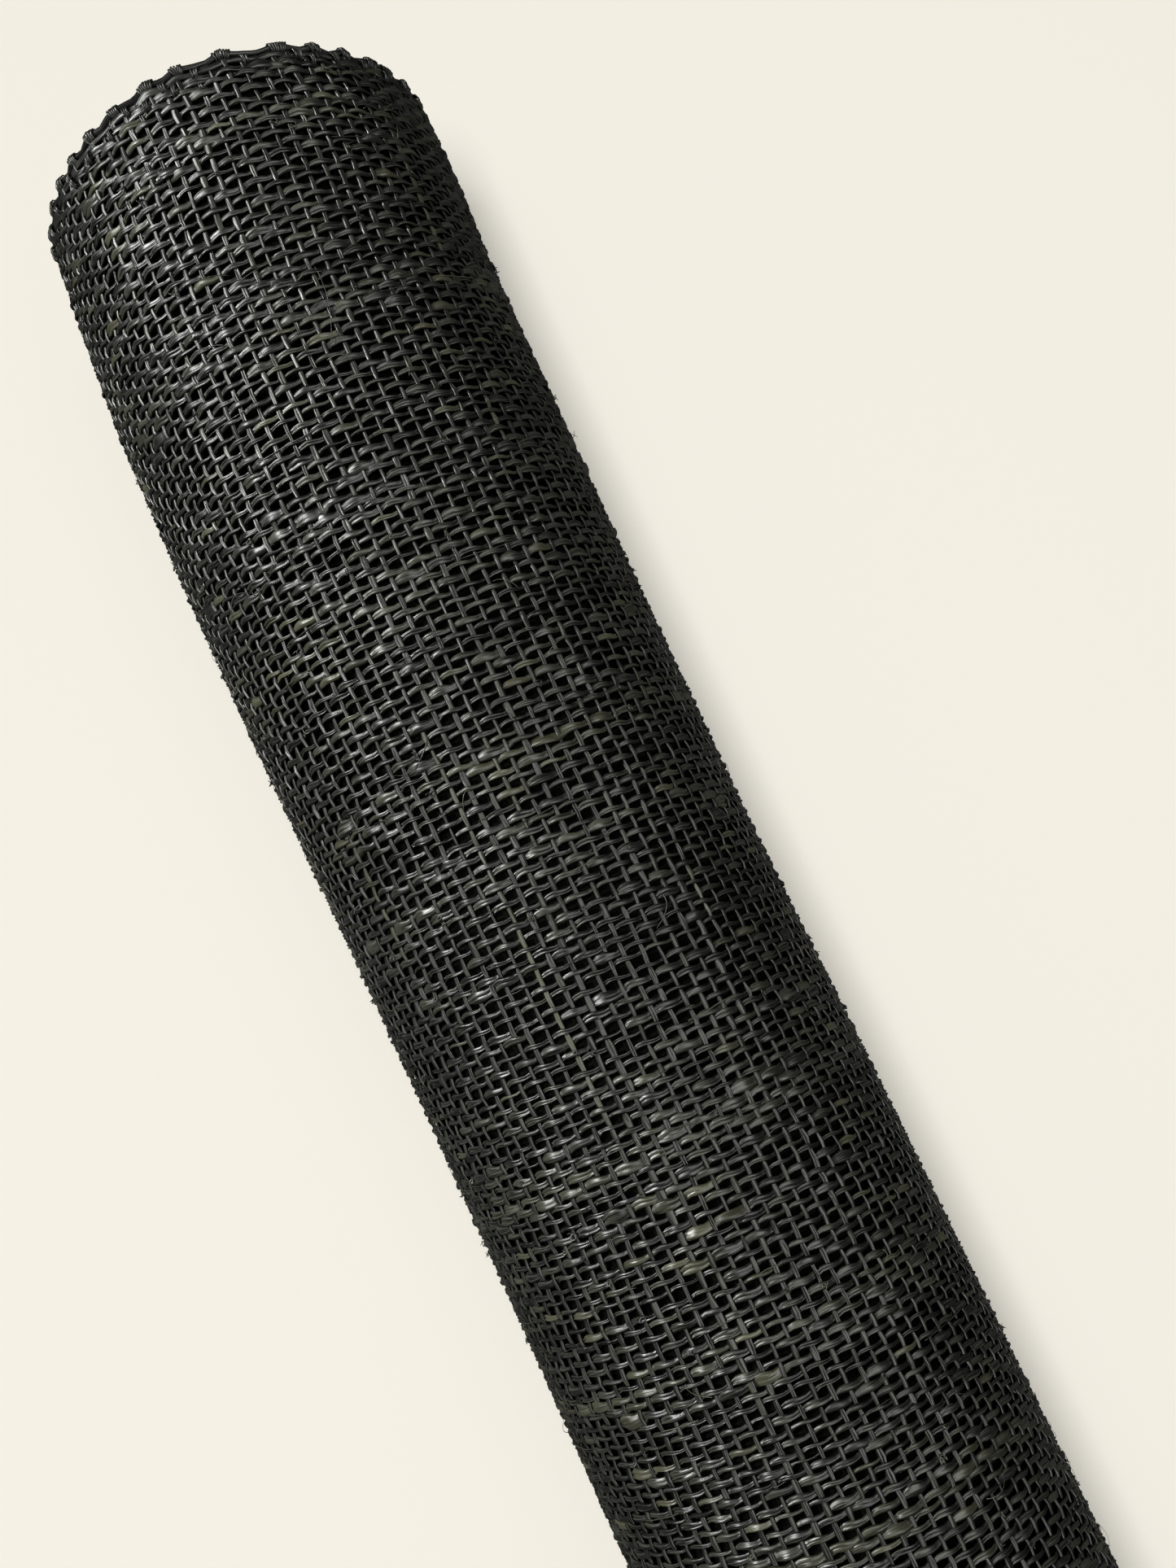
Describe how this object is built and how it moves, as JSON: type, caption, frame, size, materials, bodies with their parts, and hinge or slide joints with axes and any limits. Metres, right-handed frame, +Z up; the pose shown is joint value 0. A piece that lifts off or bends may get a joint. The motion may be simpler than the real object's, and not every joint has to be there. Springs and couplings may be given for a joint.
{
  "type": "roll of raffia fabric",
  "caption": "Black-dyed, open plain-woven raffia cloth wound on itself into a long round roll that lies on its side, with scalloped selvedge ends.",
  "frame": {"origin": "under the middle of the roll, on the surface that it rests on", "axes": "+Y along the roll towards the end that shows, +X to its right, +Z up"},
  "size_m": [0.0943, 0.48, 0.0907],
  "materials": {
    "dyed_raffia": "dull satin, open plain weave of dyed palm fibre"
  },
  "bodies": {
    "root": {"raffia_roll": "dyed_raffia"}
  },
  "joints": []
}
